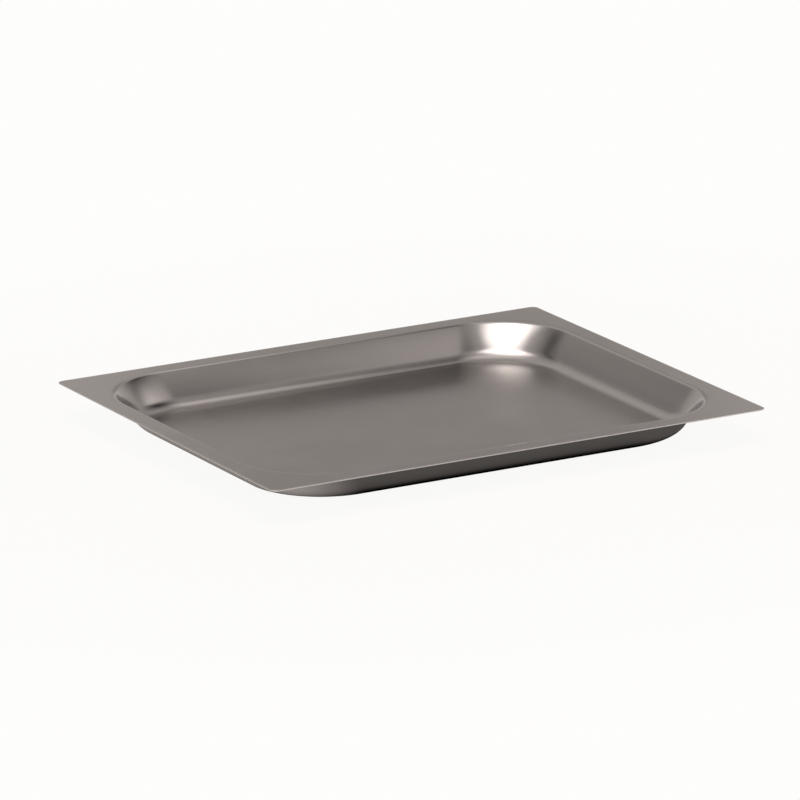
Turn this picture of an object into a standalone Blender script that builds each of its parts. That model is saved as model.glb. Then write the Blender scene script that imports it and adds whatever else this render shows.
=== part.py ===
"""Shallow rectangular steel tray, pressed from one sheet.

A single blank is drawn into a tray with a flat rim, leaning walls and a flat floor, so the
whole tray is one solid: an open surface that follows the upper face, thickened downwards.

Units are metres and +Z is up. The origin is under the middle of the floor, on the plane that
the tray stands on. +X runs along the long side and +Y along the short side.
"""

import math

import bmesh
import bpy

# Overall sizes
RIM_LENGTH = 0.325                  # outside of the rim along X
RIM_WIDTH = 0.265                   # outside of the rim along Y
TRAY_HEIGHT = 0.020                 # rim's upper face above the floor's underside
SHEET = 0.0008                      # thickness of the steel

# Cross-section, measured on the upper face
RIM_FLAT = 0.011                    # from the rim's outer edge to the start of its bend
BEND_RADIUS = 0.003                 # bend from the rim down into the wall
WALL_TOP_SLOPE = math.radians(50)   # slope at which the bend hands over to the wall
WALL_BOW_RADIUS = 0.082             # the wall's slight bow, which steepens it towards its foot
FILLET_RADIUS = 0.0105              # curve from the wall's foot into the floor

# Plan view, radii of the rounded corners
RIM_CORNER_RADIUS = 0.004           # outer corners of the rim
MOUTH_CORNER_RADIUS = 0.050         # where the bend starts
WALL_FOOT_CORNER_RADIUS = 0.045     # where the wall meets the fillet
FLOOR_CORNER_RADIUS = 0.043         # where the fillet meets the floor

# Facets
CORNER_STEPS = 12                   # chords in each rounded corner
BEND_STEPS = 5                      # chords down the bend
WALL_STEPS = 2                      # chords down the wall
FILLET_STEPS = 7                    # chords down the fillet
SMOOTH_BELOW = math.radians(30)     # edges that turn less than this are shaded smooth

# Finish
STEEL_COLOUR = (0.56, 0.545, 0.53, 1.0)
STEEL_METALLIC = 1.0
STEEL_ROUGHNESS = 0.25

NODE_NAME = "pressed_tray"
COLLECTION_NAME = "rectangular_steel_tray"


def clear_scene():
    """Remove every object, so that a second run starts from nothing."""
    for old in list(bpy.data.objects):
        bpy.data.objects.remove(old, do_unlink=True)


def steps_between(start, end, steps):
    """Values from start to end in equal steps, both ends included."""
    return [start + (end - start) * step / steps for step in range(steps + 1)]


def wall_foot_slope():
    """Slope at which the bowed wall meets the fillet.

    The bend, the wall and the fillet are three arcs, each tangent to the next. Their drops,
    r (cos a - cos b) for an arc of radius r between the slopes a and b, add up to the height
    from the floor's upper face to the rim's, and that fixes the slope at the wall's foot.
    """
    drop = TRAY_HEIGHT - SHEET
    bend_drop = BEND_RADIUS * (1 - math.cos(WALL_TOP_SLOPE))
    reach = bend_drop + WALL_BOW_RADIUS * math.cos(WALL_TOP_SLOPE) + FILLET_RADIUS - drop
    return math.acos(reach / (WALL_BOW_RADIUS + FILLET_RADIUS))


def arc_stations(start, radius, slopes, turn):
    """Stations (inset, height) along an arc that leaves start and takes the given slopes.

    turn is +1 where the arc steepens on its way down and -1 where it levels out.
    """
    inset, height = start
    first = slopes[0]
    stations = []
    for slope in slopes:
        run = turn * radius * (math.sin(slope) - math.sin(first))
        fall = turn * radius * (math.cos(first) - math.cos(slope))
        stations.append((inset + run, height - fall))
    return stations


def cross_section():
    """The bend's, the wall's and the fillet's stations on the upper face, in that order."""
    foot_slope = wall_foot_slope()
    bend_slopes = steps_between(0.0, WALL_TOP_SLOPE, BEND_STEPS)
    wall_slopes = steps_between(WALL_TOP_SLOPE, foot_slope, WALL_STEPS)
    fillet_slopes = steps_between(foot_slope, 0.0, FILLET_STEPS)
    bend = arc_stations((RIM_FLAT, TRAY_HEIGHT), BEND_RADIUS, bend_slopes, 1)
    wall = arc_stations(bend[-1], WALL_BOW_RADIUS, wall_slopes, 1)
    fillet = arc_stations(wall[-1], FILLET_RADIUS, fillet_slopes, -1)
    return bend, wall, fillet


def blend(start, end, share):
    """The value a given share of the way from start to end."""
    return start + (end - start) * share


def corner_radius(inset, mouth_inset, foot_inset, floor_inset):
    """Plan radius of the corners at an inset between the mouth and the floor's edge."""
    if inset < foot_inset:
        share = (inset - mouth_inset) / (foot_inset - mouth_inset)
        return blend(MOUTH_CORNER_RADIUS, WALL_FOOT_CORNER_RADIUS, share)
    share = (inset - foot_inset) / (floor_inset - foot_inset)
    return blend(WALL_FOOT_CORNER_RADIUS, FLOOR_CORNER_RADIUS, share)


def rounded_rectangle(inset, height, radius):
    """Points round a rectangle inset from the rim's edge, anticlockwise seen from above."""
    centre_x = RIM_LENGTH / 2 - inset - radius
    centre_y = RIM_WIDTH / 2 - inset - radius
    signs = [(1, 1), (-1, 1), (-1, -1), (1, -1)]
    points = []
    for quarter, (sign_x, sign_y) in enumerate(signs):
        start = quarter * math.pi / 2
        for angle in steps_between(start, start + math.pi / 2, CORNER_STEPS):
            x = sign_x * centre_x + radius * math.cos(angle)
            y = sign_y * centre_y + radius * math.sin(angle)
            points.append((x, y, height))
    return points


def add_loop(bm, points):
    """Add a closed loop of edges through the points and return the edges."""
    verts = [bm.verts.new(point) for point in points]
    return [bm.edges.new((vert, verts[i - 1])) for i, vert in enumerate(verts)]


def upper_face():
    """The tray's upper face as an open surface, lofted through loops of unlike corners."""
    bend, wall, fillet = cross_section()
    key_insets = (bend[0][0], wall[-1][0], fillet[-1][0])
    bm = bmesh.new()
    loops = [add_loop(bm, rounded_rectangle(0.0, TRAY_HEIGHT, RIM_CORNER_RADIUS))]
    for inset, height in bend + wall[1:] + fillet[1:]:
        radius = corner_radius(inset, *key_insets)
        loops.append(add_loop(bm, rounded_rectangle(inset, height, radius)))
    for outer, inner in zip(loops, loops[1:]):
        bmesh.ops.bridge_loops(bm, edges=outer + inner)
    bmesh.ops.contextual_create(bm, geom=loops[-1])
    bmesh.ops.recalc_face_normals(bm, faces=bm.faces)
    bm.normal_update()
    if sum(face.normal.z for face in bm.faces) < 0:
        bmesh.ops.reverse_faces(bm, faces=bm.faces)
    mesh = bpy.data.meshes.new(NODE_NAME)
    bm.to_mesh(mesh)
    bm.free()
    return mesh


def steel_material():
    """Satin stainless steel, as rolled."""
    material = bpy.data.materials.new("satin_steel")
    material.use_nodes = True
    shader = material.node_tree.nodes["Principled BSDF"]
    shader.inputs["Base Color"].default_value = STEEL_COLOUR
    shader.inputs["Metallic"].default_value = STEEL_METALLIC
    shader.inputs["Roughness"].default_value = STEEL_ROUGHNESS
    return material


def pressed_tray(collection):
    """Thicken the upper face downwards by the sheet's thickness."""
    mesh = upper_face()
    mesh.materials.append(steel_material())
    mesh.shade_smooth()
    mesh.set_sharp_from_angle(angle=SMOOTH_BELOW)
    tray = bpy.data.objects.new(NODE_NAME, mesh)
    collection.objects.link(tray)
    wall = tray.modifiers.new("sheet", "SOLIDIFY")
    wall.thickness = SHEET
    wall.offset = -1.0
    wall.use_even_offset = True


def main():
    """Build the tray in its own collection."""
    clear_scene()
    collection = bpy.data.collections.new(COLLECTION_NAME)
    bpy.context.scene.collection.children.link(collection)
    pressed_tray(collection)


main()
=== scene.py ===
"""A shallow pressed steel tray in a light tent, laid out as a Blender add-on.

Lengths are metres and +Z is up. The tray stands on the plane z = 0 with the origin under the
middle of its floor, +X along its long side and +Y along its short side. Directions of the
studio's lights are given as a compass bearing, measured from +Y towards +X, and an elevation.
"""

import math

import bpy
import numpy as np
from mathutils import Matrix, Vector


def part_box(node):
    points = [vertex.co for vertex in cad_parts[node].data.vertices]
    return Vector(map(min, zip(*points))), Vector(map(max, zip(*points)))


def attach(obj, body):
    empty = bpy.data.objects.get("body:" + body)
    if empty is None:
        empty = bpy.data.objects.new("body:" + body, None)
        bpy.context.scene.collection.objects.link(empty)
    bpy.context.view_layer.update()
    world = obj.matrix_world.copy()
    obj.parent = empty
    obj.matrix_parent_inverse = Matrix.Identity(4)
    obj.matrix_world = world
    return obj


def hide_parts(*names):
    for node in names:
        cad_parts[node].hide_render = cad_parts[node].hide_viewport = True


bl_info = {
    "name": "Pressed Steel Tray",
    "version": (1, 0, 0),
    "blender": (4, 5, 0),
    "location": "View3D > Sidebar > Tray",
    "description": "Makes a shallow rectangular tray of satin steel and the studio it stands in",
    "category": "Object",
}

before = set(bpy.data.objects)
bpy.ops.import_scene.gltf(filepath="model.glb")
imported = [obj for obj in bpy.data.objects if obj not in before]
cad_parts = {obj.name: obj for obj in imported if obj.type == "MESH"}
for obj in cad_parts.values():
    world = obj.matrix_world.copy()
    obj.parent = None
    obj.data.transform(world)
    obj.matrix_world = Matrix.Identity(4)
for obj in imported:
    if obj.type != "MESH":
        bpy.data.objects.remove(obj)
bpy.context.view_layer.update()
TRAY_LOW, TRAY_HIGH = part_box("pressed_tray")
TRAY_SIZE = TRAY_HIGH - TRAY_LOW
MM = 0.001

# Steps that the finished shell is divided into
RIM_STEPS = 8         # across the flat of the rim
ARRIS_STEPS = 4       # round each arris of the cut edge
BEND_STEPS = 16       # down the bend
WALL_STEPS = 10       # down the wall
FILLET_STEPS = 24     # down the fillet
FLOOR_STEPS = 24      # from the floor's edge to its middle
CORNER_STEPS = 44     # round each corner
SIDE_STEPS = 30       # along each straight side


# ---------------------------------------------------------------- sizes and colours

class TraySheet(bpy.types.PropertyGroup):
    """The tray's sizes. The section's lengths are measured on its upper face."""

    rim_length: bpy.props.FloatProperty(
        name="Rim length", description="Outside of the rim along X",
        default=TRAY_SIZE.x, unit="LENGTH")
    rim_width: bpy.props.FloatProperty(
        name="Rim width", description="Outside of the rim along Y",
        default=TRAY_SIZE.y, unit="LENGTH")
    height: bpy.props.FloatProperty(
        name="Height", description="Rim's upper face above the floor's underside",
        default=TRAY_SIZE.z, unit="LENGTH")
    sheet: bpy.props.FloatProperty(
        name="Sheet", description="Thickness of the steel",
        default=0.8 * MM, unit="LENGTH")
    rim_flat: bpy.props.FloatProperty(
        name="Rim flat", description="From the rim's outer edge to the start of its bend",
        default=11 * MM, unit="LENGTH")
    bend_radius: bpy.props.FloatProperty(
        name="Bend radius", description="Bend from the rim down into the wall",
        default=3 * MM, unit="LENGTH")
    wall_slope: bpy.props.FloatProperty(
        name="Wall slope", description="Slope of the wall at its top",
        default=math.radians(50), subtype="ANGLE")
    wall_bow: bpy.props.FloatProperty(
        name="Wall bow", description="Radius of the wall's slight bow",
        default=82 * MM, unit="LENGTH")
    fillet_radius: bpy.props.FloatProperty(
        name="Fillet radius", description="Curve from the wall's foot into the floor",
        default=10.5 * MM, unit="LENGTH")
    rim_corner: bpy.props.FloatProperty(
        name="Rim corner", description="Plan radius of the rim's outer corners",
        default=4 * MM, unit="LENGTH")
    mouth_corner: bpy.props.FloatProperty(
        name="Mouth corner", description="Plan radius of the corners where the bend starts",
        default=50 * MM, unit="LENGTH")
    foot_corner: bpy.props.FloatProperty(
        name="Wall foot corner", description="Plan radius where the wall meets the fillet",
        default=45 * MM, unit="LENGTH")
    floor_corner: bpy.props.FloatProperty(
        name="Floor corner", description="Plan radius where the fillet meets the floor",
        default=43 * MM, unit="LENGTH")
    cut_edge: bpy.props.FloatProperty(
        name="Cut edge rounding", description="Rounding of the rim's deburred cut edge",
        default=0.2 * MM, unit="LENGTH")


class SteelFinish(bpy.types.PropertyGroup):
    """The steel's colour and the strength of the marks on it."""

    colour: bpy.props.FloatVectorProperty(
        name="Steel", description="Colour of the bare steel", subtype="COLOR", size=3,
        default=(0.56, 0.545, 0.53), min=0, max=1)
    # bare steel of the cut edge and the nicks, and also the colour of the painted glint on the
    # front bend
    bare_and_glint_colour: bpy.props.FloatVectorProperty(
        name="Bare edge", description="Colour of the freshly cut and the rubbed steel",
        subtype="COLOR", size=3, default=(0.75, 0.735, 0.715), min=0, max=1)
    roughness: bpy.props.FloatProperty(
        name="Roughness", description="Roughness of the as-rolled surface",
        default=0.18, min=0, max=1, subtype="FACTOR")
    grain: bpy.props.FloatProperty(
        name="Grain", description="Strength of the rolling grain",
        default=0.35, min=0, max=1, subtype="FACTOR")
    wear: bpy.props.FloatProperty(
        name="Wear", description="Strength of the scratches and of the worn edges",
        default=0.4, min=0, max=1, subtype="FACTOR")


class StudioLight(bpy.types.PropertyGroup):
    """The studio's overall brightness and the colour of its floor."""

    brightness: bpy.props.FloatProperty(
        name="Brightness", description="Strength of every light in the tent",
        default=1.0, min=0)
    warmth: bpy.props.FloatVectorProperty(
        name="Light", description="Colour of the tent's light", subtype="COLOR",
        size=3, default=(1.085, 1.0, 0.97), min=0, max=2)
    pale: bpy.props.FloatVectorProperty(
        name="Floor", description="Colour of the floor and the background", subtype="COLOR",
        size=3, default=(0.99, 0.985, 0.97), min=0, max=1)


# ---------------------------------------------------------------- shapes

def arc_down(start, radius, first, last, steps, turn):
    """Stations (inset, height) on an arc of the cross-section that leaves start.

    At the slope s the station lies radius * (sin s - sin first) further in and
    radius * (cos first - cos s) lower. turn is +1 where the arc steepens on its way down and
    -1 where it levels out. Returns the stations and their slopes, one row each.
    """
    slope = np.linspace(first, last, steps + 1)
    inset = start[0] + turn * radius * (np.sin(slope) - math.sin(first))
    height = start[1] - turn * radius * (math.cos(first) - np.cos(slope))
    return np.stack([inset, height], axis=1), slope


def upper_section(tray):
    """The upper face's section from the rim's edge to the floor's edge.

    The flat rim is followed by three arcs, each tangent to the next: the bend, the bowed wall
    and the fillet. Their drops r (cos a - cos b) add up to the tray's inner depth, which fixes
    the slope at the wall's foot. Returns the stations (inset, height), the slope at each
    station, and the insets of the mouth, the wall's foot and the floor's edge.
    """
    depth = tray.height - tray.sheet
    top = math.cos(tray.wall_slope)
    reach = tray.bend_radius * (1 - top) + tray.wall_bow * top + tray.fillet_radius - depth
    foot = math.acos(reach / (tray.wall_bow + tray.fillet_radius))
    rim_insets = np.linspace(tray.cut_edge, tray.rim_flat, RIM_STEPS + 1)[:-1]
    rim = np.stack([rim_insets, np.full_like(rim_insets, tray.height)], axis=1)
    mouth = (tray.rim_flat, tray.height)
    bend, bend_slope = arc_down(mouth, tray.bend_radius, 0.0, tray.wall_slope, BEND_STEPS, 1)
    wall, wall_slope = arc_down(bend[-1], tray.wall_bow, tray.wall_slope, foot, WALL_STEPS, 1)
    fillet, fillet_slope = arc_down(wall[-1], tray.fillet_radius, foot, 0.0, FILLET_STEPS, -1)
    stations = np.concatenate([rim, bend, wall[1:], fillet[1:]])
    slopes = np.concatenate(
        [np.zeros(len(rim)), bend_slope, wall_slope[1:], fillet_slope[1:]])
    return stations, slopes, (tray.rim_flat, wall[-1, 0], fillet[-1, 0])


def closed_section(tray):
    """The sheet's whole section: inset, height and plan radius of each loop, top to bottom.

    The underside lies one sheet thickness below the upper face, measured along its normal, and
    its corners are wider by the distance that this moves it outwards. The rim's cut edge joins
    the two with a quarter circle at each arris. Rows run from the floor's edge on the upper
    face, out over the rim and back to the floor's edge on the underside.
    """
    upper, slope, keys = upper_section(tray)
    radii = (tray.rim_corner, tray.mouth_corner, tray.foot_corner, tray.floor_corner)
    radius = np.interp(upper[:, 0], (0.0, *keys), radii)
    outwards = tray.sheet * np.sin(slope)
    lower = np.stack([upper[:, 0] - outwards, upper[:, 1] - tray.sheet * np.cos(slope)], axis=1)
    turn = np.linspace(0, math.pi / 2, ARRIS_STEPS + 1)
    edge = tray.cut_edge
    arris = np.stack([edge * (1 - np.sin(turn)), edge * (1 - np.cos(turn))], axis=1)
    top_arris = np.stack([arris[:, 0], tray.height - arris[:, 1]], axis=1)[1:]
    low_arris = np.stack([arris[:, 0], tray.height - tray.sheet + arris[:, 1]], axis=1)[:0:-1]
    rim_radius = np.full(len(top_arris) + len(low_arris), tray.rim_corner)
    stations = np.concatenate([upper[::-1], top_arris, low_arris, lower])
    radius = np.concatenate([radius[::-1], rim_radius, radius + outwards])
    return stations[:, 0], stations[:, 1], radius


def rounded_rectangles(half_x, half_y, radius):
    """Loops round rectangles with quarter-circle corners, anticlockwise seen from above.

    half_x, half_y and radius hold one value for each loop. A corner's point at the angle a is
    its centre plus radius * (cos a, sin a), and each straight side is divided evenly between
    the corners that it joins. Returns an array of loops by points by 2.
    """
    quarter = np.arange(4)[:, None] * math.pi / 2
    angle = quarter + np.linspace(0, math.pi / 2, CORNER_STEPS + 1)
    signs = np.array([(1, 1), (-1, 1), (-1, -1), (1, -1)])
    centre = np.stack([half_x - radius, half_y - radius], axis=1)[:, None, None, :]
    unit = np.stack([np.cos(angle), np.sin(angle)], axis=-1)
    corners = centre * signs[:, None, :] + radius[:, None, None, None] * unit
    share = np.linspace(0, 1, SIDE_STEPS + 1)[1:-1, None]
    after = np.roll(corners[:, :, :1], -1, axis=1)
    sides = corners[:, :, -1:] * (1 - share) + after * share
    return np.concatenate([corners, sides], axis=2).reshape(len(radius), -1, 2)


def lofted_shell(name, loops, first_pole, last_pole):
    """A closed mesh through loops of points, ending in a fan round a pole at either end.

    Point (i, j) of the grid is joined to (i, j + 1) and to (i + 1, j), with j wrapping round,
    so the seam is shared and the shell has no open edge.
    """
    rows, columns = loops.shape[:2]
    grid = np.arange(rows * columns).reshape(rows, columns)
    beside = np.roll(grid, -1, axis=1)
    quads = np.stack([grid[:-1], grid[1:], beside[1:], beside[:-1]], axis=-1).reshape(-1, 4)
    first, last = rows * columns, rows * columns + 1
    start = np.stack([np.full(columns, first), grid[0], beside[0]], axis=1)
    end = np.stack([np.full(columns, last), beside[-1], grid[-1]], axis=1)
    points = np.concatenate([loops.reshape(-1, 3), [first_pole, last_pole]])
    mesh = bpy.data.meshes.new(name)
    mesh.from_pydata(points.tolist(), [], quads.tolist() + start.tolist() + end.tolist())
    mesh.validate()
    mesh.shade_smooth()
    return mesh


def floor_rings(edge_loop, height, shares):
    """Loops on the floor: the floor's edge loop drawn in towards the middle by each share."""
    plan = shares[:, None, None] * edge_loop[None]
    return np.concatenate([plan, np.full((*plan.shape[:2], 1), height)], axis=2)


def tray_mesh(tray):
    """The pressed tray as one closed shell.

    Each row of the section becomes a rounded rectangle, inset from the rim and with its own
    plan radius. The floor is closed on both faces by rings that shrink to the middle.
    """
    inset, height, radius = closed_section(tray)
    half_x = tray.rim_length / 2 - inset
    half_y = tray.rim_width / 2 - inset
    plan = rounded_rectangles(half_x, half_y, radius)
    lift = np.broadcast_to(height[:, None, None], (*plan.shape[:2], 1))
    section = np.concatenate([plan, lift], axis=2)
    shares = np.linspace(0, 1, FLOOR_STEPS + 1)[1:-1]
    upper_floor = floor_rings(plan[0], tray.sheet, shares)
    lower_floor = floor_rings(plan[-1], 0.0, shares[::-1])
    loops = np.concatenate([upper_floor, section, lower_floor])
    return lofted_shell("satin_tray", loops, (0, 0, tray.sheet), (0, 0, 0))


# ---------------------------------------------------------------- materials

EDGE_TINT = (0.81, 0.81, 0.81)       # keeps the steel from brightening at a glancing angle
CUT_BAND = (-0.7 * MM, -0.1 * MM)    # bare steel sets in between these distances from the outline
# painted highlight: a short streak of lighter steel on the front bend, where the bend catches the
# light
GLINT_MIDDLE = (1.5 * MM, -121.5 * MM, 20 * MM)
GLINT_HALF = (11 * MM, 0.8 * MM, 2 * MM)   # half length, width and depth of the painted glint on the front bend
STREAK_LIGHTNESS = 0.10              # how far each mark lightens the steel
PATCH_LIGHTNESS = 0.03
SCRATCH_LIGHTNESS = 0.12
STREAK_ROUGHNESS = 0.10              # how far each mark roughens the steel
PATCH_ROUGHNESS = 0.03
SCRATCH_ROUGHNESS = 0.12
BARE_ROUGHNESS = 0.10
BARE_LEAST = 0.7                     # bareness of the cut edge between the streaks, and what
BARE_STREAKS = 0.5                   # the streaks add to it
GRAIN_BUMP = 0.12
GRAIN_DEPTH = 0.02 * MM
BROAD_GRAIN = 0.12                   # fineness of the broad streaks, against the fine ones' 1
HAIRLINE_TURNS = (0.2, 1.1, 2.3)     # directions of the hairlines, in radians
HAIRLINE_NOISE = (7.0, 260.0, 260.0)   # waves in a metre, along a hairline and across it
HAIRLINE_HALF = 0.006                # half width of a hairline, as a share of the noise's range
HAIRLINE_PLACES = 45.0               # waves in a metre of the noise that keeps some hairlines
NICKED = 0.62                        # cells above this random value have a nick


def node(tree, kind, inputs=None, **settings):
    """A new node with its settings and its inputs: a value, or an output to link from."""
    made = tree.nodes.new(kind)
    for name, value in settings.items():
        setattr(made, name, value)
    for key, value in (inputs or {}).items():
        if isinstance(value, bpy.types.NodeSocket):
            tree.links.new(value, made.inputs[key])
        else:
            made.inputs[key].default_value = value
    return made


def math_node(tree, operation, *values):
    """A Math node's output, from up to three numbers or outputs."""
    return node(tree, "ShaderNodeMath", dict(enumerate(values)), operation=operation).outputs[0]


def new_group(name, inputs, outputs):
    """An empty shader node group with named float, vector or colour sockets."""
    tree = bpy.data.node_groups.new(name, "ShaderNodeTree")
    kinds = {"float": "NodeSocketFloat", "vector": "NodeSocketVector", "color": "NodeSocketColor"}
    for label, kind, value in inputs:
        socket = tree.interface.new_socket(label, in_out="INPUT", socket_type=kinds[kind])
        if value is not None:
            socket.default_value = value
    for label, kind in outputs:
        tree.interface.new_socket(label, in_out="OUTPUT", socket_type=kinds[kind])
    start = tree.nodes.new("NodeGroupInput")
    end = tree.nodes.new("NodeGroupOutput")
    return tree, start.outputs, end.inputs


def rolling_grain_group():
    """Fine lines along X, as the rolls leave them: noise stretched along X at two scales."""
    tree, given, made = new_group(
        "rolling_grain",
        [("Position", "vector", None), ("Line Width", "float", 0.0004), ("Stretch", "float", 40.0)],
        [("Height", "float"), ("Streaks", "float")])
    scale = math_node(tree, "DIVIDE", 1.0, given["Line Width"])
    along = math_node(tree, "DIVIDE", scale, given["Stretch"])
    vector = node(tree, "ShaderNodeCombineXYZ", {0: along, 1: scale, 2: scale}).outputs[0]
    stretched = node(tree, "ShaderNodeVectorMath", {0: given["Position"], 1: vector},
                     operation="MULTIPLY").outputs[0]
    fine = node(tree, "ShaderNodeTexNoise",
                {"Vector": stretched, "Scale": 1.0, "Detail": 3.0, "Roughness": 0.6})
    broad = node(tree, "ShaderNodeTexNoise",
                 {"Vector": stretched, "Scale": BROAD_GRAIN, "Detail": 4.0, "Roughness": 0.55})
    tree.links.new(fine.outputs[0], made["Height"])
    tree.links.new(broad.outputs[0], made["Streaks"])
    return tree


def clouding_group():
    """Slow patches, as handling and washing leave: soft noise pushed towards its middle."""
    tree, given, made = new_group(
        "clouding", [("Position", "vector", None), ("Patch Size", "float", 0.04)],
        [("Patches", "float")])
    scale = math_node(tree, "DIVIDE", 1.0, given["Patch Size"])
    noise = node(tree, "ShaderNodeTexNoise",
                 {"Vector": given["Position"], "Scale": scale, "Detail": 3.0,
                  "Roughness": 0.5, "Distortion": 0.6})
    soft = node(tree, "ShaderNodeMapRange",
                {"Value": noise.outputs[0], "From Min": 0.3, "From Max": 0.7},
                interpolation_type="SMOOTHSTEP")
    tree.links.new(soft.outputs[0], made["Patches"])
    return tree


def hairline_group():
    """Sparse hairline scratches: thin bands of a stretched noise, kept only in some places."""
    tree, given, made = new_group(
        "hairlines",
        [("Position", "vector", None), ("Direction", "float", 0.0), ("Amount", "float", 0.5)],
        [("Scratches", "float")])
    turned = node(tree, "ShaderNodeVectorRotate",
                  {"Vector": given["Position"], "Angle": given["Direction"]},
                  rotation_type="Z_AXIS").outputs[0]
    stretched = node(tree, "ShaderNodeVectorMath", {0: turned, 1: HAIRLINE_NOISE},
                     operation="MULTIPLY").outputs[0]
    lines = node(tree, "ShaderNodeTexNoise",
                 {"Vector": stretched, "Scale": 1.0, "Detail": 1.0}).outputs[0]
    off_line = math_node(tree, "ABSOLUTE", math_node(tree, "SUBTRACT", lines, 0.5))
    line = node(tree, "ShaderNodeMapRange",
                {"Value": off_line, "From Min": 0.0, "From Max": HAIRLINE_HALF, "To Min": 1.0,
                 "To Max": 0.0}).outputs[0]
    place = node(tree, "ShaderNodeTexNoise",
                 {"Vector": given["Position"], "Scale": HAIRLINE_PLACES,
                  "Detail": 1.0}).outputs[0]
    threshold = math_node(tree, "SUBTRACT", 0.8, math_node(tree, "MULTIPLY", given["Amount"], 0.3))
    kept = node(tree, "ShaderNodeMapRange",
                {"Value": place, "From Min": threshold,
                 "From Max": math_node(tree, "ADD", threshold, 0.06)}).outputs[0]
    tree.links.new(math_node(tree, "MULTIPLY", line, kept), made["Scratches"])
    return tree


def ramp(tree, value, start, end, height=1.0):
    """A smooth step of a value, from 0 at start to height at end."""
    return node(tree, "ShaderNodeMapRange",
                {"Value": value, "From Min": start, "From Max": end, "To Max": height},
                interpolation_type="SMOOTHSTEP").outputs[0]


def outline_distance(tree, position, corner_middle, radius):
    """How far a point lies outside a rounded rectangle in plan, negative inside near its edge.

    |max(|p| - c, 0)| - r, where c are the middles of the corner arcs and r is their radius.
    """
    folded = node(tree, "ShaderNodeVectorMath", {0: position}, operation="ABSOLUTE").outputs[0]
    past = node(tree, "ShaderNodeVectorMath", {0: folded, 1: corner_middle},
                operation="SUBTRACT").outputs[0]
    outside = node(tree, "ShaderNodeVectorMath", {0: past, 1: (0, 0, 0)},
                   operation="MAXIMUM").outputs[0]
    length = node(tree, "ShaderNodeVectorMath", {0: outside}, operation="LENGTH").outputs["Value"]
    return math_node(tree, "SUBTRACT", length, radius)


def outline_group():
    """The distance from a rounded rectangle's outline, as outline_distance gives it."""
    tree, given, made = new_group(
        "outline_distance",
        [("Position", "vector", None), ("Corner Middle", "vector", None), ("Radius", "float", 0.0)],
        [("Distance", "float")])
    distance = outline_distance(tree, given["Position"], given["Corner Middle"], given["Radius"])
    tree.links.new(distance, made["Distance"])
    return tree


def nick_group():
    """Sparse small nicks: the middles of a few of the cells that space is divided into."""
    tree, given, made = new_group(
        "nicks",
        [("Position", "vector", None), ("Spacing", "float", 0.012), ("Size", "float", 0.0004)],
        [("Nicks", "float")])
    scale = math_node(tree, "DIVIDE", 1.0, given["Spacing"])
    cells = node(tree, "ShaderNodeTexVoronoi", {"Vector": given["Position"], "Scale": scale})
    away = math_node(tree, "MULTIPLY", cells.outputs["Distance"], given["Spacing"])
    edge = math_node(tree, "MULTIPLY", given["Size"], 0.5)
    dot = node(tree, "ShaderNodeMapRange",
               {"Value": away, "From Min": edge, "From Max": given["Size"], "To Min": 1.0,
                "To Max": 0.0}, interpolation_type="SMOOTHSTEP").outputs[0]
    chosen = math_node(tree, "GREATER_THAN", cells.outputs["Color"], NICKED)
    tree.links.new(math_node(tree, "MULTIPLY", dot, chosen), made["Nicks"])
    return tree


def placed(tree, group, inputs):
    """The outputs of a node group placed in a material, with its inputs."""
    return node(tree, "ShaderNodeGroup", inputs, node_tree=group).outputs


def corner_middle(tray, inset, radius):
    """Middle of a corner's arc on the outline at an inset from the rim's edge.

    Its height is above the whole tray, so that only the plan counts in outline_distance.
    """
    return (tray.rim_length / 2 - inset - radius, tray.rim_width / 2 - inset - radius, 1.0)


def painted_glint_mark(tree, position):
    """A painted glint on the front bend, a short streak of lighter steel where the bend catches the
    light: 1 in its middle, 0 from |q| = 1 outwards.
    """
    offset = node(tree, "ShaderNodeVectorMath", {0: position, 1: GLINT_MIDDLE},
                  operation="SUBTRACT").outputs[0]
    share = node(tree, "ShaderNodeVectorMath", {0: offset, 1: GLINT_HALF},
                 operation="DIVIDE").outputs[0]
    away = node(tree, "ShaderNodeVectorMath", {0: share}, operation="LENGTH").outputs["Value"]
    return math_node(tree, "SUBTRACT", 1.0, ramp(tree, away, 0.3, 1.0))


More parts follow.
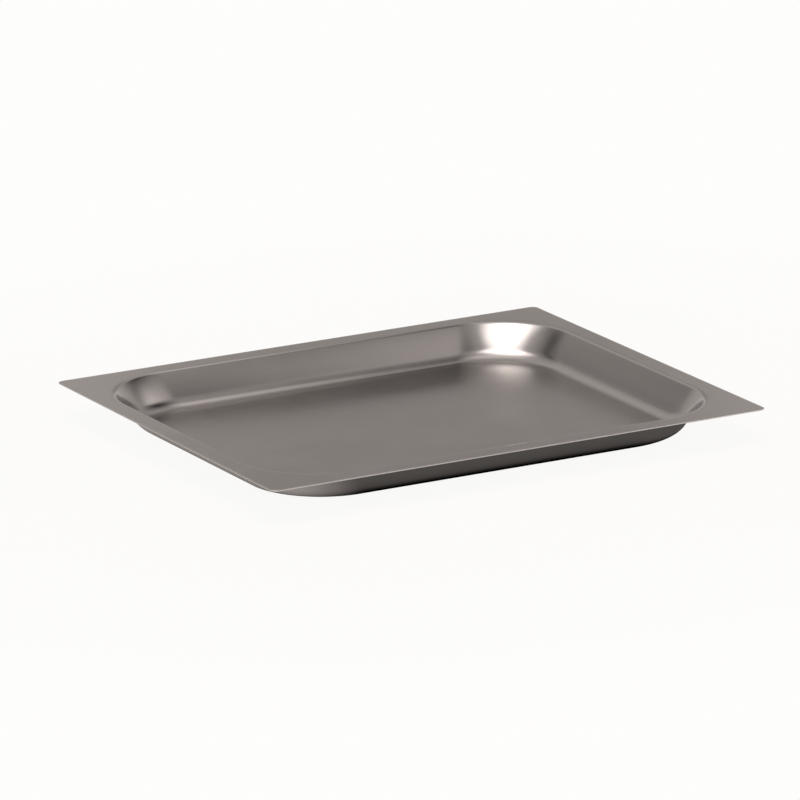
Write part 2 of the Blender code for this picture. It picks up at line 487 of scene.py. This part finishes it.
def satin_steel(tray, finish, groups):
    """Satin stainless steel: rolling grain, clouding, hairlines, nicks, a bare cut edge and a
    painted glint on the front bend.
    """
    material = bpy.data.materials.new("satin_steel")
    material.use_nodes = True
    tree = material.node_tree
    shader = tree.nodes["Principled BSDF"]
    position = node(tree, "ShaderNodeTexCoord").outputs["Object"]
    grain = placed(tree, groups["grain"], {"Position": position})
    patches = placed(tree, groups["clouding"], {"Position": position})["Patches"]
    lines = [placed(tree, groups["hairlines"], {"Position": position, "Direction": turn,
                                                "Amount": finish.wear})["Scratches"]
             for turn in HAIRLINE_TURNS]
    scratches = math_node(tree, "MAXIMUM", math_node(tree, "MAXIMUM", *lines[:2]), lines[2])
    nicks = placed(tree, groups["nicks"], {"Position": position})["Nicks"]
    from_edge = placed(tree, groups["outline"],
                       {"Position": position, "Radius": tray.rim_corner,
                        "Corner Middle": corner_middle(tray, 0.0, tray.rim_corner)})["Distance"]
    cut = ramp(tree, from_edge, *CUT_BAND)
    broken = math_node(tree, "MULTIPLY_ADD", grain["Streaks"], BARE_STREAKS, BARE_LEAST)
    bare = math_node(tree, "MULTIPLY", cut, broken)
    bare = math_node(tree, "MAXIMUM", bare, math_node(tree, "MULTIPLY", nicks, finish.wear))
    # painted highlight: the glint on the front bend is mixed in as lighter bare steel
    bare = math_node(tree, "MAXIMUM", bare, painted_glint_mark(tree, position))
    bare = math_node(tree, "MINIMUM", bare, 1.0)

    streak_share = math_node(tree, "SUBTRACT", grain["Streaks"], 0.5)
    patch_share = math_node(tree, "SUBTRACT", patches, 0.5)
    shade = math_node(tree, "MULTIPLY_ADD", streak_share, STREAK_LIGHTNESS * finish.grain, 1.0)
    shade = math_node(tree, "MULTIPLY_ADD", patch_share, PATCH_LIGHTNESS, shade)
    shade = math_node(tree, "MULTIPLY_ADD", scratches, SCRATCH_LIGHTNESS * finish.wear, shade)
    steel = node(tree, "ShaderNodeMix", {"Factor": bare, "A": (*finish.colour, 1),
                                         "B": (*finish.bare_and_glint_colour, 1)}, data_type="RGBA")
    colour = node(tree, "ShaderNodeVectorMath",
                  {0: steel.outputs["Result"], "Scale": shade}, operation="SCALE").outputs[0]
    rough = math_node(tree, "MULTIPLY_ADD", streak_share, STREAK_ROUGHNESS * finish.grain,
                      finish.roughness)
    rough = math_node(tree, "MULTIPLY_ADD", patch_share, PATCH_ROUGHNESS, rough)
    rough = math_node(tree, "MULTIPLY_ADD", scratches, SCRATCH_ROUGHNESS * finish.wear, rough)
    rough = math_node(tree, "MULTIPLY_ADD", bare, BARE_ROUGHNESS, rough)
    bump = node(tree, "ShaderNodeBump",
                {"Height": grain["Height"], "Strength": GRAIN_BUMP * finish.grain,
                 "Distance": GRAIN_DEPTH})
    tree.links.new(colour, shader.inputs["Base Color"])
    tree.links.new(rough, shader.inputs["Roughness"])
    tree.links.new(bump.outputs[0], shader.inputs["Normal"])
    shader.inputs["Metallic"].default_value = 1.0
    shader.inputs["Specular Tint"].default_value = (*EDGE_TINT, 1.0)
    return material


# ---------------------------------------------------------------- studio

CAMERA_BEARING = math.radians(29.30)     # the way the camera looks, from +Y towards +X
CAMERA_DIP = math.radians(15.82)         # how far it looks down
CAMERA_ROLL = math.radians(0.55)
CAMERA_DISTANCE = 4.674
CAMERA_LENS = 361.45
CAMERA_REACH = 100
CAMERA_OFF_CENTRE = (5.21 * MM, 2.92 * MM)   # how far right and up of the axis the tray's mouth is

TENT_RADIUS = 1.0
TENT_BASE = 0.01
# name, bearing, elevation, half width of the full light, half width where it ends, radiance
TENT_LIGHTS = (
    ("key", 235, 75, 12, 28, 1.80),
    ("roof", 325, 75, 0, 20, 1.40),
    ("back_roof", 35, 65, 0, 20, 0.45),
    ("key_halo", 240, 75, 20, 60, 0.45),
    ("right_low", 90, -10, 15, 60, 0.45),
    ("right", 115, 20, 15, 40, 0.55),
    ("back", 20, 20, 0, 50, 0.50),
    ("back_left", 325, 20, 0, 20, 0.20),
    ("back_horizon", 30, -30, 40, 45, 0.20),
    ("dark_card", 30, 20, 5, 15, -0.15),
)


def direction(bearing, elevation):
    """Unit vector towards a compass bearing from +Y towards +X and an elevation, in degrees."""
    b, e = math.radians(bearing), math.radians(elevation)
    return Vector((math.sin(b) * math.cos(e), math.cos(b) * math.cos(e), math.sin(e)))


def tent_glow(tree, brightness):
    """The tent's brightness over its inside: an even base, plus a soft spot for each light."""
    position = node(tree, "ShaderNodeTexCoord").outputs["Object"]
    outwards = node(tree, "ShaderNodeVectorMath", {0: position}, operation="NORMALIZE").outputs[0]
    total = TENT_BASE
    for name, bearing, elevation, full, end, radiance in TENT_LIGHTS:
        towards = node(tree, "ShaderNodeVectorMath",
                       {0: outwards, 1: direction(bearing, elevation)},
                       operation="DOT_PRODUCT", label=name).outputs["Value"]
        spot = node(tree, "ShaderNodeMapRange",
                    {"Value": towards, "From Min": math.cos(math.radians(end)),
                     "From Max": math.cos(math.radians(full)), "To Min": 0.0,
                     "To Max": radiance}, interpolation_type="SMOOTHSTEP").outputs[0]
        total = math_node(tree, "ADD", total, spot)
    total = math_node(tree, "MAXIMUM", total, 0.0)
    return math_node(tree, "MULTIPLY", total, brightness)


def tent_material(studio):
    """The tent's cloth, which only glows."""
    material = bpy.data.materials.new("tent_cloth")
    material.use_nodes = True
    material.cycles.emission_sampling = "NONE"
    tree = material.node_tree
    tree.nodes.clear()
    glow = node(tree, "ShaderNodeEmission", {"Color": (*studio.warmth, 1),
                                             "Strength": tent_glow(tree, studio.brightness)})
    out = tree.nodes.new("ShaderNodeOutputMaterial")
    tree.links.new(glow.outputs[0], out.inputs["Surface"])
    return material


def dome_mesh(name, radius, rings=24, around=48):
    """A hemisphere that faces inwards: radius * (sin p cos q, sin p sin q, cos p)."""
    p = np.linspace(0, math.pi / 2, rings + 1)[1:, None]
    q = np.arange(around)[None] * 2 * math.pi / around
    points = radius * np.stack(
        [np.sin(p) * np.cos(q), np.sin(p) * np.sin(q), np.cos(p) + 0 * q], axis=-1)
    grid = np.arange(rings * around).reshape(rings, around)
    beside = np.roll(grid, -1, axis=1)
    quads = np.stack([grid[:-1], beside[:-1], beside[1:], grid[1:]], axis=-1).reshape(-1, 4)
    fan = np.stack([np.full(around, rings * around), beside[0], grid[0]], axis=1)
    mesh = bpy.data.meshes.new(name)
    vertices = np.concatenate([points.reshape(-1, 3), [(0, 0, radius)]])
    mesh.from_pydata(vertices.tolist(), [], quads.tolist() + fan.tolist())
    mesh.shade_smooth()
    return mesh


def add_stage_piece(name, mesh, material):
    """An object of the studio, which isn't part of the tray."""
    piece = bpy.data.objects.new(name, mesh)
    mesh.materials.append(material)
    bpy.context.scene.collection.objects.link(piece)
    return piece


FLOOR_HALF = 40.0        # half the floor's side
FLOOR_DROP = 0.2 * MM    # the floor lies this far below the tray
SHADED_SHARE = 0.05      # how much of the floor's look is shaded by the tent's light
SHADED_END = (0.1, 0.45)     # gap from the tray over which that share fades out
# painted light in the floor that the steel mirrors: gap from the line that the tray stands on where
# it starts and ends, and its height; nearer in, the mirrored floor is painted shadow
UNDER_RIM_PAINTED_LIGHT = (5 * MM, 15 * MM, 0.125)
OPEN_FLOOR_PAINTED_LIGHT = (16 * MM, 90 * MM, 0.65)
KEY_SIDE_PAINTED_LIGHT = (-88 * MM, -138 * MM, 0.35)   # painted light as above, along X towards the key light
KEY_SIDE_GAP = (2 * MM, 8 * MM)
KEY_SIDE_END = (20 * MM, 50 * MM)


def painted_floor_reflection(tree, position, gap):
    """The floor as the steel mirrors it, painted: a painted shadow where the tray stands, painted
    light away from it and on the key light's side.
    """
    glow = math_node(tree, "ADD", ramp(tree, gap, *UNDER_RIM_PAINTED_LIGHT),
                     ramp(tree, gap, *OPEN_FLOOR_PAINTED_LIGHT))
    along = node(tree, "ShaderNodeSeparateXYZ", {0: position}).outputs["X"]
    near = math_node(tree, "SUBTRACT", ramp(tree, gap, *KEY_SIDE_GAP),
                     ramp(tree, gap, *KEY_SIDE_END))
    side = math_node(tree, "MULTIPLY", ramp(tree, along, *KEY_SIDE_PAINTED_LIGHT), near)
    return math_node(tree, "ADD", glow, side)


def floor_material(tray, studio):
    """A pale, plain floor with a faint shadow. What the steel mirrors is an emission with a painted
    shadow round the tray and painted light further out.
    """
    material = bpy.data.materials.new("pale_floor")
    material.use_nodes = True
    tree = material.node_tree
    tree.nodes.clear()
    path = node(tree, "ShaderNodeLightPath")
    position = node(tree, "ShaderNodeTexCoord").outputs["Object"]
    inset, _, radius = closed_section(tray)
    middle = corner_middle(tray, inset[0], radius[0])
    gap = outline_distance(tree, position, middle, float(radius[0]))
    share = math_node(tree, "SUBTRACT", SHADED_SHARE, ramp(tree, gap, *SHADED_END, SHADED_SHARE))
    pale = (*studio.pale, 1)
    plain = node(tree, "ShaderNodeEmission", {"Color": pale, "Strength": 1.0}).outputs[0]
    shaded = node(tree, "ShaderNodeBsdfDiffuse", {"Color": pale}).outputs[0]
    seen = node(tree, "ShaderNodeMixShader", {0: share, 1: plain, 2: shaded}).outputs[0]
    # painted reflection: the steel mirrors this emission, with its painted shadow and light, in
    # place of the shaded floor
    mirrored = node(tree, "ShaderNodeEmission",
                    {"Color": (*studio.warmth, 1),
                     "Strength": painted_floor_reflection(tree, position, gap)}).outputs[0]
    mix = node(tree, "ShaderNodeMixShader",
               {0: path.outputs["Is Camera Ray"], 1: mirrored, 2: seen}).outputs[0]
    out = tree.nodes.new("ShaderNodeOutputMaterial")
    tree.links.new(mix, out.inputs["Surface"])
    return material


def plane_mesh(name, half, height):
    """A square of side 2 * half that lies at a height and faces up."""
    mesh = bpy.data.meshes.new(name)
    corners = [(-half, -half, height), (half, -half, height), (half, half, height),
               (-half, half, height)]
    mesh.from_pydata(corners, [], [(0, 1, 2, 3)])
    return mesh


def set_world(studio):
    """A plain background in the floor's colour, which lights nothing inside the tent."""
    world = bpy.data.worlds.new("background")
    bpy.context.scene.world = world
    world.use_nodes = True
    background = world.node_tree.nodes["Background"]
    background.inputs["Color"].default_value = (*studio.pale, 1)
    background.inputs["Strength"].default_value = 1.0
    world.cycles_visibility.diffuse = False
    world.cycles_visibility.glossy = False


def add_camera(tray):
    """A long lens a long way off, looking down on the tray's near left corner."""
    look = Vector((math.sin(CAMERA_BEARING) * math.cos(CAMERA_DIP),
                   math.cos(CAMERA_BEARING) * math.cos(CAMERA_DIP), -math.sin(CAMERA_DIP)))
    right = Vector((math.cos(CAMERA_BEARING), -math.sin(CAMERA_BEARING), 0))
    up = right.cross(look)
    turn = Matrix.Rotation(CAMERA_ROLL, 3, look)
    right, up = turn @ right, turn @ up
    mouth = Vector((0, 0, tray.height))
    aim = mouth - CAMERA_OFF_CENTRE[0] * right - CAMERA_OFF_CENTRE[1] * up
    camera = bpy.data.objects.new("camera", bpy.data.cameras.new("camera"))
    camera.data.lens = CAMERA_LENS
    camera.data.clip_end = CAMERA_REACH
    place = Matrix((right, up, -look)).transposed().to_4x4()
    place.translation = aim - CAMERA_DISTANCE * look
    camera.matrix_world = place
    bpy.context.scene.collection.objects.link(camera)
    bpy.context.scene.camera = camera


# ---------------------------------------------------------------- operators and panel

class TRAY_OT_press_sheet(bpy.types.Operator):
    """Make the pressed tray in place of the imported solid"""

    bl_idname = "tray.press_sheet"
    bl_label = "Press Tray"

    def execute(self, context):
        scene = context.scene
        tray = bpy.data.objects.new("satin_tray", tray_mesh(scene.tray_sheet))
        groups = {"grain": rolling_grain_group(), "clouding": clouding_group(),
                  "hairlines": hairline_group(), "nicks": nick_group(),
                  "outline": outline_group()}
        tray.data.materials.append(satin_steel(scene.tray_sheet, scene.steel_finish, groups))
        scene.collection.objects.link(tray)
        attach(tray, "root")
        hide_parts("pressed_tray")
        return {"FINISHED"}


class TRAY_OT_set_stage(bpy.types.Operator):
    """Set up the floor, the light tent, the background and the camera"""

    bl_idname = "tray.set_stage"
    bl_label = "Set Stage"

    def execute(self, context):
        scene = context.scene
        studio = scene.studio_light
        add_stage_piece("floor", plane_mesh("floor", FLOOR_HALF, -FLOOR_DROP),
                        floor_material(scene.tray_sheet, studio))
        tent = add_stage_piece("light_tent", dome_mesh("light_tent", TENT_RADIUS),
                               tent_material(studio))
        tent.visible_camera = False
        set_world(studio)
        add_camera(scene.tray_sheet)
        scene.view_settings.view_transform = "Standard"
        return {"FINISHED"}


class TRAY_PT_sidebar(bpy.types.Panel):
    """Lists the tray's sizes, its finish and the buttons that make it"""

    bl_label = "Pressed Steel Tray"
    bl_idname = "TRAY_PT_sidebar"
    bl_space_type = "VIEW_3D"
    bl_region_type = "UI"
    bl_category = "Tray"

    def draw(self, context):
        layout = self.layout
        scene = context.scene
        for title, group in (("Sheet", scene.tray_sheet), ("Finish", scene.steel_finish),
                             ("Studio", scene.studio_light)):
            box = layout.box()
            box.label(text=title)
            for name in group.bl_rna.properties.keys():
                if name not in ("rna_type", "name"):
                    box.prop(group, name)
        layout.operator(TRAY_OT_press_sheet.bl_idname)
        layout.operator(TRAY_OT_set_stage.bl_idname)


CLASSES = (TraySheet, SteelFinish, StudioLight, TRAY_OT_press_sheet, TRAY_OT_set_stage,
           TRAY_PT_sidebar)


def register():
    """Register the classes and hang their settings on the scene."""
    for cls in CLASSES:
        bpy.utils.register_class(cls)
    bpy.types.Scene.tray_sheet = bpy.props.PointerProperty(type=TraySheet)
    bpy.types.Scene.steel_finish = bpy.props.PointerProperty(type=SteelFinish)
    bpy.types.Scene.studio_light = bpy.props.PointerProperty(type=StudioLight)


def unregister():
    """Take the settings and the classes away again."""
    del bpy.types.Scene.tray_sheet
    del bpy.types.Scene.steel_finish
    del bpy.types.Scene.studio_light
    for cls in reversed(CLASSES):
        bpy.utils.unregister_class(cls)


def main():
    """Make the tray and its studio."""
    register()
    bpy.ops.tray.press_sheet()
    bpy.ops.tray.set_stage()


if __name__ == "__main__":
    main()
